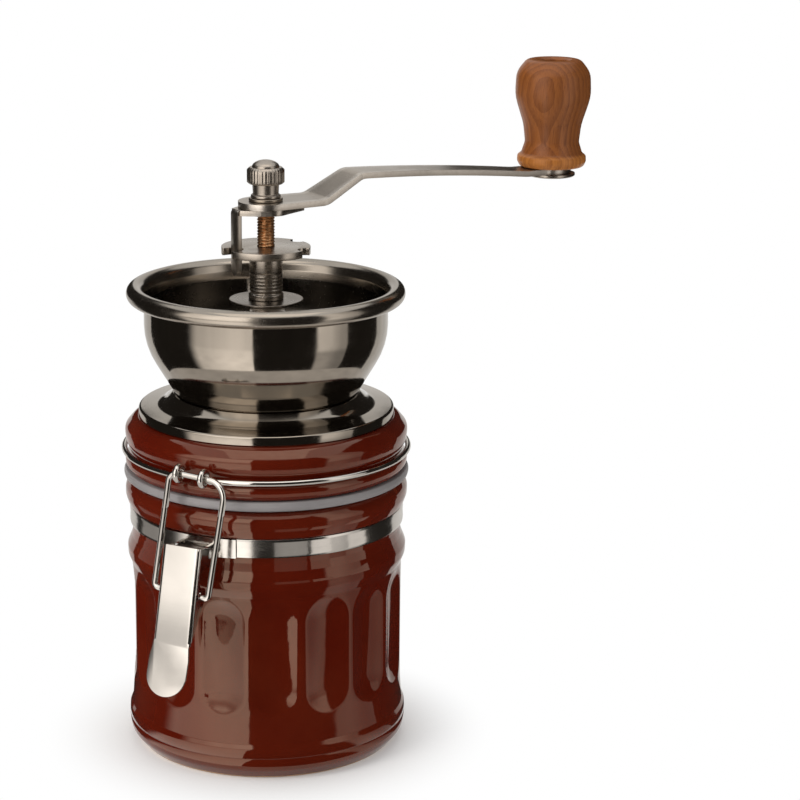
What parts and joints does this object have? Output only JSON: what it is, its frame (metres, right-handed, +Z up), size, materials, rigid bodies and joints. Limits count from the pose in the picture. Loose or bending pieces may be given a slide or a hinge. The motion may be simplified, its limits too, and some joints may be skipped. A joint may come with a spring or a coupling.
{
  "type": "manual coffee grinder",
  "caption": "Hand-cranked coffee grinder with a metal hopper bowl, conical burrs and a glazed ceramic canister closed by a wire-bail latch.",
  "frame": {"origin": "centre of the canister's foot ring on the surface it stands on", "axes": "+Z up along the shaft; -Y towards the latch, +Y towards the lid hinge; +X to the right of someone facing the latch"},
  "size_m": [0.1266, 0.1812, 0.2295],
  "materials": {
    "glazed_jar": "glossy oxblood glaze",
    "glazed_lid": "glossy oxblood glaze",
    "seal": "matt grey-white silicone",
    "bright_steel": "bright stainless sheet",
    "bright_wire": "bright drawn wire",
    "dark_metal": "dark polished plating",
    "nickel": "satin nickel",
    "dark_washer": "darkened steel",
    "shaft_metal": "copper coloured thread",
    "housing": "black moulded",
    "burr_ceramic": "matt white ceramic",
    "turned_wood": "lacquered light wood"
  },
  "bodies": {
    "canister": {"jar_body": "glazed_jar", "neck_band": "bright_steel", "band_bracket": "bright_steel", "latch_pin": "bright_steel", "hinge_knuckle": "bright_steel"},
    "lid": {"lid_ring": "glazed_lid", "lid_gasket": "seal", "lid_wire": "bright_wire", "hopper_bowl": "dark_metal", "hopper_skirt": "dark_metal", "bridge_strap": "nickel", "collar_disc": "nickel", "bearing_sleeve": "nickel", "burr_housing": "housing", "outer_burr": "burr_ceramic", "bearing_spider": "housing", "clamp_screws": "bright_steel"},
    "latch_loop": {"latch_loop": "bright_wire"},
    "latch_lever": {"latch_lever": "bright_steel"},
    "crank": {"main_shaft": "shaft_metal", "inner_burr": "burr_ceramic", "burr_nut": "bright_steel", "shaft_spring": "bright_steel", "adjusting_disc": "nickel", "locking_plate": "nickel", "crank_arm": "nickel", "knob_axle": "bright_steel", "knob_screw": "bright_steel"},
    "nut_washer": {"nut_washer": "dark_washer"},
    "thumb_nut": {"thumb_nut": "nickel"},
    "knob": {"wooden_knob": "turned_wood"}
  },
  "joints": [
    {"name": "lid_hinge", "type": "hinge", "parent": "canister", "child": "lid", "pos_m": [0, 0.0506, 0.082], "axis": [-1, 0, 0], "range_deg": [0, 100]},
    {"name": "latch_lever_pivot", "type": "hinge", "parent": "canister", "child": "latch_lever", "pos_m": [0, -0.051, 0.0805], "axis": [-1, 0, 0], "range_deg": [-13, 80]},
    {"name": "latch_loop_swing", "type": "hinge", "parent": "lid", "child": "latch_loop", "pos_m": [0.00249, -0.0515, 0.10597], "axis": [-0.9978, 0, 0.0663], "range_deg": [-3.51, 21.6]},
    {"name": "crank_spin", "type": "hinge", "parent": "lid", "child": "crank", "pos_m": [0, 0, 0.17], "axis": [0, 0, 1], "continuous": true},
    {"name": "thumb_nut_lift", "type": "slide", "parent": "crank", "child": "nut_washer", "axis": [0, 0, 1], "range_m": [0, 0.004]},
    {"name": "thumb_nut_turn", "type": "hinge", "parent": "nut_washer", "child": "thumb_nut", "pos_m": [0, 0, 0.19], "axis": [0, 0, 1], "range_deg": [0, 1440]},
    {"name": "knob_spin", "type": "hinge", "parent": "crank", "child": "knob", "pos_m": [0.06381, 0.09604, 0.1915], "axis": [0, 0, 1], "continuous": true}
  ],
  "couplings": [
    {"joint": "latch_loop_swing", "follows": "latch_lever_pivot", "ratio": 0.27},
    {"joint": "thumb_nut_lift", "follows": "thumb_nut_turn", "m_per_rad": 0.000159}
  ]
}
